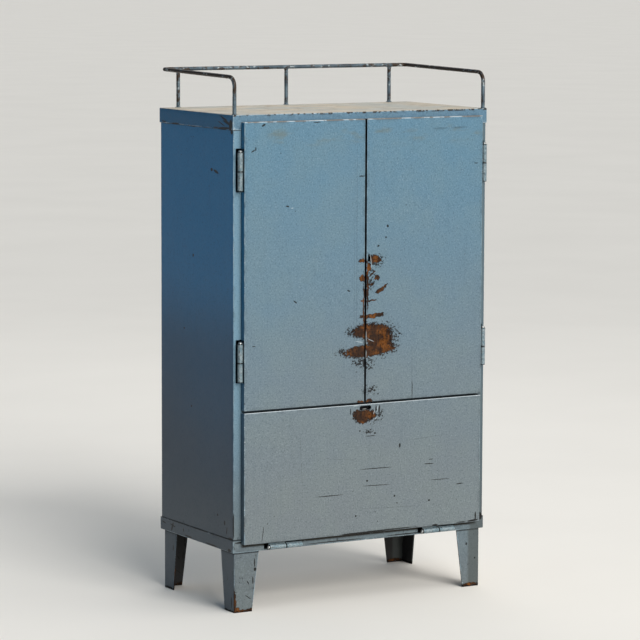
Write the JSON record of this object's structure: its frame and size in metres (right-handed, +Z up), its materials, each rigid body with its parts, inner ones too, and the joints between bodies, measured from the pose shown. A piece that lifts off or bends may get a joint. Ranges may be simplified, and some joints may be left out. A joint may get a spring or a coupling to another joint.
{
  "type": "bedside cabinet",
  "caption": "Tall sheet steel ward cabinet on angle legs, with hinged doors over a drop-down flap and a round-bar guard rail round its top.",
  "frame": {"origin": "on the floor, under the middle of the whole object's box", "axes": "+Z up, the doors and flap face -Y, +X is to the right of someone who faces the doors"},
  "size_m": [0.6, 0.334, 1.0915],
  "materials": {
    "front_enamel": "worn hammer-tone enamel, steel blue, satin gloss, chipped to rust round the centre",
    "carcass_enamel": "hammer-tone enamel, deeper steel blue, chipped along the edges",
    "top_enamel": "hammer-tone enamel rubbed thin and pale by use, semi-gloss",
    "inside_enamel": "the same enamel inside, less worn",
    "rail_enamel": "grey-blue enamel on round bar, rubbed through in spots",
    "hinge_steel": "enamelled steel, worn bright on the rounds",
    "bright_steel": "bare worn steel",
    "spring_steel": "dull spring steel strip"
  },
  "bodies": {
    "frame": {"left_side_panel": "carcass_enamel", "right_side_panel": "carcass_enamel", "back_panel": "carcass_enamel", "top_cap": "top_enamel", "base_pan": "carcass_enamel", "divider_shelf": "inside_enamel", "upper_shelf": "inside_enamel", "left_shelf_runner": "inside_enamel", "right_shelf_runner": "inside_enamel", "front_left_leg": "carcass_enamel", "front_right_leg": "carcass_enamel", "rear_left_leg": "carcass_enamel", "rear_right_leg": "carcass_enamel", "guard_rail_bar": "rail_enamel", "guard_rail_post_left": "rail_enamel", "guard_rail_post_middle": "rail_enamel", "guard_rail_post_right": "rail_enamel", "left_door_spring_clip": "spring_steel", "right_door_spring_clip": "spring_steel", "flap_spring_clip_left": "spring_steel", "flap_spring_clip_right": "spring_steel", "left_door_upper_hinge_frame_knuckle": "hinge_steel", "left_door_upper_hinge_pin": "bright_steel", "left_door_lower_hinge_frame_knuckle": "hinge_steel", "left_door_lower_hinge_pin": "bright_steel", "right_door_upper_hinge_frame_knuckle": "hinge_steel", "right_door_upper_hinge_pin": "bright_steel", "right_door_lower_hinge_frame_knuckle": "hinge_steel", "right_door_lower_hinge_pin": "bright_steel", "flap_left_hinge_frame_knuckle": "hinge_steel", "flap_left_hinge_pin": "bright_steel", "flap_right_hinge_frame_knuckle": "hinge_steel", "flap_right_hinge_pin": "bright_steel"},
    "left_door": {"left_door_skin": "front_enamel", "left_door_stiffener": "inside_enamel", "left_door_catch_stud": "bright_steel", "left_door_upper_hinge_leaf_knuckle": "hinge_steel", "left_door_lower_hinge_leaf_knuckle": "hinge_steel"},
    "right_door": {"right_door_skin": "front_enamel", "right_door_stiffener": "inside_enamel", "right_door_catch_stud": "bright_steel", "right_door_upper_hinge_leaf_knuckle": "hinge_steel", "right_door_lower_hinge_leaf_knuckle": "hinge_steel"},
    "flap": {"flap_skin": "front_enamel", "flap_stiffener": "inside_enamel", "flap_finger_tongue": "bright_steel", "flap_catch_stud_left": "bright_steel", "flap_catch_stud_right": "bright_steel", "flap_left_hinge_leaf_knuckle": "hinge_steel", "flap_right_hinge_leaf_knuckle": "hinge_steel"}
  },
  "joints": [
    {"name": "left_door_swing", "type": "hinge", "parent": "frame", "child": "left_door", "pos_m": [-0.2885, -0.1618, 0.7035], "axis": [0, 0, -1], "range_deg": [0, 180]},
    {"name": "right_door_swing", "type": "hinge", "parent": "frame", "child": "right_door", "pos_m": [0.2885, -0.1618, 0.7035], "axis": [0, 0, 1], "range_deg": [0, 180]},
    {"name": "flap_drop", "type": "hinge", "parent": "frame", "child": "flap", "pos_m": [0, -0.1618, 0.1315], "axis": [1, 0, 0], "range_deg": [0, 115]}
  ]
}
